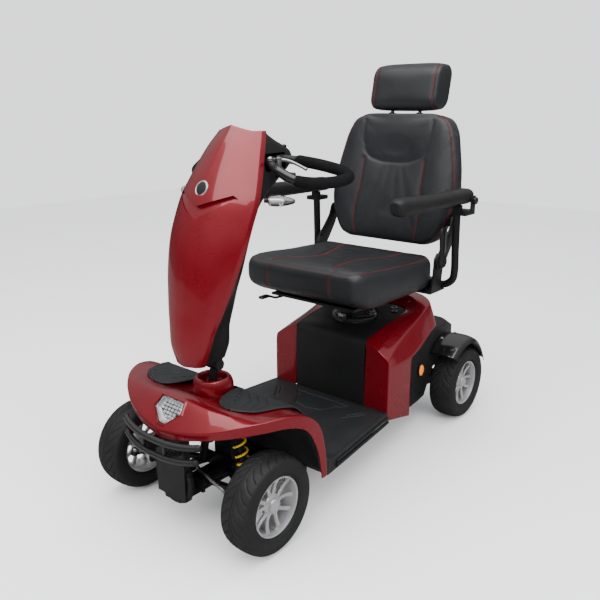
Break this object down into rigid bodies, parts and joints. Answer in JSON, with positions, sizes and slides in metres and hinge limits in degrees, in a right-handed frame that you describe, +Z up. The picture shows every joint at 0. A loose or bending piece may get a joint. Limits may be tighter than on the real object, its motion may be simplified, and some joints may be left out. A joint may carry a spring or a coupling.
{
  "type": "mobility scooter",
  "caption": "Four-wheel mobility scooter with sprung wheels, steered and tilting tiller, swivelling captain seat, folding armrests, headrest, battery box and covers.",
  "frame": {"origin": "on the ground, midway between front and rear ends and midway between the sides", "axes": "+X forward along the length, +Y to the rider's left, +Z up"},
  "size_m": [1.343, 0.668, 1.2331],
  "materials": {
    "red_paint": "gloss",
    "black_gloss": "gloss",
    "black_satin": "satin",
    "black_steel": "satin",
    "zinc_steel": "satin",
    "alloy": "satin",
    "tyre": "matte",
    "grip_foam": "matte",
    "mat_rubber": "matte",
    "leather": "satin",
    "yellow_paint": "gloss",
    "amber_lens": "gloss",
    "clear_lens": "gloss",
    "red_lens": "gloss"
  },
  "bodies": {
    "chassis": {"main_frame": "black_steel", "front_bumper": "black_steel", "front_cowl": "red_paint", "headlight_lens": "clear_lens", "steering_collar": "red_paint", "floor_pan": "black_satin", "floor_mat": "mat_rubber", "battery_cover": "black_satin", "side_cowl_left": "red_paint", "side_cowl_right": "red_paint", "rear_body": "black_satin", "tail_light": "red_lens", "side_reflector_left": "amber_lens", "side_reflector_right": "amber_lens", "rear_fender_left": "black_satin", "rear_fender_right": "black_satin", "battery_pack": "black_satin", "seat_post_boot": "black_gloss", "rear_spring_left": "yellow_paint", "rear_spring_right": "yellow_paint"},
    "steering": {"steering_shaft": "black_steel"},
    "tiller": {"tiller_column": "black_steel", "tiller_front_cover": "red_paint", "tiller_rear_cover": "black_satin", "handlebar": "grip_foam", "indicator_left": "clear_lens", "indicator_right": "clear_lens"},
    "brake": {"brake_lever": "zinc_steel"},
    "throttle": {"throttle_lever": "black_gloss"},
    "speed_dial": {"speed_knob": "black_gloss"},
    "key": {"ignition_key": "zinc_steel"},
    "rear_swing": {"transaxle": "black_steel"},
    "freewheel": {"freewheel_lever": "amber_lens"},
    "seat_base": {"seat_swivel": "black_steel"},
    "seat": {"seat_frame": "black_steel", "seat_cushion": "leather"},
    "back": {"backrest": "leather"},
    "head": {"headrest": "leather"},
    "seat_lever": {"swivel_lever": "black_gloss"},
    "recliner": {"recline_lever": "black_satin"},
    "front_left_arm": {"front_arm_left": "black_steel"},
    "front_left_coilover": {"front_coilover_left": "yellow_paint"},
    "front_left_knuckle": {"front_knuckle_left": "black_steel"},
    "front_left_tie_rod": {"tie_rod_left": "zinc_steel"},
    "front_left_wheel": {"front_tyre_left": "tyre", "front_rim_left": "alloy"},
    "rear_left_wheel": {"rear_tyre_left": "tyre", "rear_rim_left": "alloy"},
    "left_arm_post": {"armrest_post_left": "black_steel"},
    "left_arm_pad": {"armrest_pad_left": "black_satin"},
    "front_right_arm": {"front_arm_right": "black_steel"},
    "front_right_coilover": {"front_coilover_right": "yellow_paint"},
    "front_right_knuckle": {"front_knuckle_right": "black_steel"},
    "front_right_tie_rod": {"tie_rod_right": "zinc_steel"},
    "front_right_wheel": {"front_tyre_right": "tyre", "front_rim_right": "alloy"},
    "rear_right_wheel": {"rear_tyre_right": "tyre", "rear_rim_right": "alloy"},
    "right_arm_post": {"armrest_post_right": "black_steel"},
    "right_arm_pad": {"armrest_pad_right": "black_satin"}
  },
  "joints": [
    {"name": "steering", "type": "hinge", "parent": "chassis", "child": "steering", "pos_m": [0.439, 0, 0.42], "axis": [-0.2079, 0, 0.9781], "range_deg": [-35, 35]},
    {"name": "tiller_tilt", "type": "hinge", "parent": "steering", "child": "tiller", "pos_m": [0.439, 0, 0.42], "axis": [0, 1, 0], "range_deg": [-6, 18]},
    {"name": "brake_pull", "type": "hinge", "parent": "tiller", "child": "brake", "pos_m": [0.316, 0.13, 0.962], "axis": [0, 0, 1], "range_deg": [0, 15], "stiffness_Nm_per_rad": 0.5, "springref_deg": -11.46},
    {"name": "throttle_push", "type": "hinge", "parent": "tiller", "child": "throttle", "pos_m": [0.264, 0, 0.9175], "axis": [0, 0, 1], "range_deg": [-10, 10], "stiffness_Nm_per_rad": 0.5},
    {"name": "speed_turn", "type": "hinge", "parent": "tiller", "child": "speed_dial", "pos_m": [0.2263, 0, 0.9916], "axis": [-0.436, 0, 0.9], "range_deg": [0, 270]},
    {"name": "key_turn", "type": "hinge", "parent": "tiller", "child": "key", "pos_m": [0.2197, -0.04, 0.9884], "axis": [-0.436, 0, 0.9], "range_deg": [0, 60]},
    {"name": "front_left_travel", "type": "hinge", "parent": "chassis", "child": "front_left_arm", "pos_m": [0.49, 0.045, 0.125], "axis": [1, 0, 0], "range_deg": [0, 4], "stiffness_Nm_per_rad": 700, "springref_deg": -7.45, "deforming": ["front_coilover_left"]},
    {"name": "front_left_coilover_swing", "type": "hinge", "parent": "front_left_arm", "child": "front_left_coilover", "pos_m": [0.465, 0.135, 0.1445], "axis": [1, 0, 0], "range_deg": [-4, 0]},
    {"name": "front_left_steer", "type": "hinge", "parent": "front_left_arm", "child": "front_left_knuckle", "pos_m": [0.512, 0.165, 0.13], "axis": [-0.2079, 0, 0.9781], "range_deg": [-35, 35]},
    {"name": "front_left_tie_rod_swing", "type": "hinge", "parent": "front_left_knuckle", "child": "front_left_tie_rod", "pos_m": [0.5809, 0.193, 0.1426], "axis": [-0.2079, 0, 0.9781], "range_deg": [-35, 35]},
    {"name": "front_left_spin", "type": "hinge", "parent": "front_left_knuckle", "child": "front_left_wheel", "pos_m": [0.512, 0.2513, 0.13], "axis": [0, 1, 0], "continuous": true},
    {"name": "front_right_travel", "type": "hinge", "parent": "chassis", "child": "front_right_arm", "pos_m": [0.49, -0.045, 0.125], "axis": [-1, 0, 0], "range_deg": [0, 4], "stiffness_Nm_per_rad": 700, "springref_deg": -7.45, "deforming": ["front_coilover_right"]},
    {"name": "front_right_coilover_swing", "type": "hinge", "parent": "front_right_arm", "child": "front_right_coilover", "pos_m": [0.465, -0.135, 0.1445], "axis": [-1, 0, 0], "range_deg": [-4, 0]},
    {"name": "front_right_steer", "type": "hinge", "parent": "front_right_arm", "child": "front_right_knuckle", "pos_m": [0.512, -0.165, 0.13], "axis": [-0.2079, 0, 0.9781], "range_deg": [-35, 35]},
    {"name": "front_right_tie_rod_swing", "type": "hinge", "parent": "front_right_knuckle", "child": "front_right_tie_rod", "pos_m": [0.5809, -0.193, 0.1426], "axis": [-0.2079, 0, 0.9781], "range_deg": [-35, 35]},
    {"name": "front_right_spin", "type": "hinge", "parent": "front_right_knuckle", "child": "front_right_wheel", "pos_m": [0.512, -0.2513, 0.13], "axis": [0, 1, 0], "continuous": true},
    {"name": "rear_travel", "type": "hinge", "parent": "chassis", "child": "rear_swing", "pos_m": [-0.335, 0, 0.15], "axis": [0, 1, 0], "range_deg": [0, 4], "stiffness_Nm_per_rad": 2000, "springref_deg": -5.73, "deforming": ["rear_spring_left", "rear_spring_right"]},
    {"name": "rear_left_spin", "type": "hinge", "parent": "rear_swing", "child": "rear_left_wheel", "pos_m": [-0.512, 0.2549, 0.13], "axis": [0, 1, 0], "continuous": true},
    {"name": "rear_right_spin", "type": "hinge", "parent": "rear_swing", "child": "rear_right_wheel", "pos_m": [-0.512, -0.2549, 0.13], "axis": [0, 1, 0], "continuous": true},
    {"name": "freewheel_throw", "type": "hinge", "parent": "rear_swing", "child": "freewheel", "pos_m": [-0.438, -0.162, 0.142], "axis": [0, 1, 0], "range_deg": [0, 60]},
    {"name": "seat_turn", "type": "hinge", "parent": "chassis", "child": "seat_base", "pos_m": [-0.225, 0, 0.47], "axis": [0, 0, 1], "range_deg": [-90, 90]},
    {"name": "seat_slide", "type": "slide", "parent": "seat_base", "child": "seat", "axis": [1, 0, 0], "range_m": [-0.05, 0.05]},
    {"name": "seat_lever_lift", "type": "hinge", "parent": "seat", "child": "seat_lever", "pos_m": [0.01, -0.144, 0.489], "axis": [0, -1, 0], "range_deg": [0, 6], "stiffness_Nm_per_rad": 0.5, "springref_deg": -11.46},
    {"name": "back_recline", "type": "hinge", "parent": "seat", "child": "back", "pos_m": [-0.35, 0, 0.6], "axis": [0, 1, 0], "range_deg": [-30, 50]},
    {"name": "recline_lever_pull", "type": "hinge", "parent": "seat", "child": "recliner", "pos_m": [-0.35, 0.256, 0.6], "axis": [0, -1, 0], "range_deg": [0, 20], "stiffness_Nm_per_rad": 0.5, "springref_deg": -17.19},
    {"name": "head_height", "type": "slide", "parent": "back", "child": "head", "axis": [-0.2009, 0, 0.9796], "range_m": [0, 0.06]},
    {"name": "left_arm_width", "type": "slide", "parent": "seat", "child": "left_arm_post", "axis": [0, 1, 0], "range_m": [0, 0.04]},
    {"name": "left_arm_flip", "type": "hinge", "parent": "left_arm_post", "child": "left_arm_pad", "pos_m": [-0.41, 0.286, 0.8], "axis": [0, -1, 0], "range_deg": [0, 95]},
    {"name": "right_arm_width", "type": "slide", "parent": "seat", "child": "right_arm_post", "axis": [0, -1, 0], "range_m": [0, 0.04]},
    {"name": "right_arm_flip", "type": "hinge", "parent": "right_arm_post", "child": "right_arm_pad", "pos_m": [-0.41, -0.286, 0.8], "axis": [0, -1, 0], "range_deg": [0, 95]}
  ],
  "couplings": [
    {"joint": "front_left_coilover_swing", "follows": "front_left_travel", "ratio": -1},
    {"joint": "front_left_steer", "follows": "steering", "ratio": 1},
    {"joint": "front_left_tie_rod_swing", "follows": "steering", "ratio": -1},
    {"joint": "front_right_coilover_swing", "follows": "front_right_travel", "ratio": -1},
    {"joint": "front_right_steer", "follows": "steering", "ratio": 1},
    {"joint": "front_right_tie_rod_swing", "follows": "steering", "ratio": -1}
  ]
}
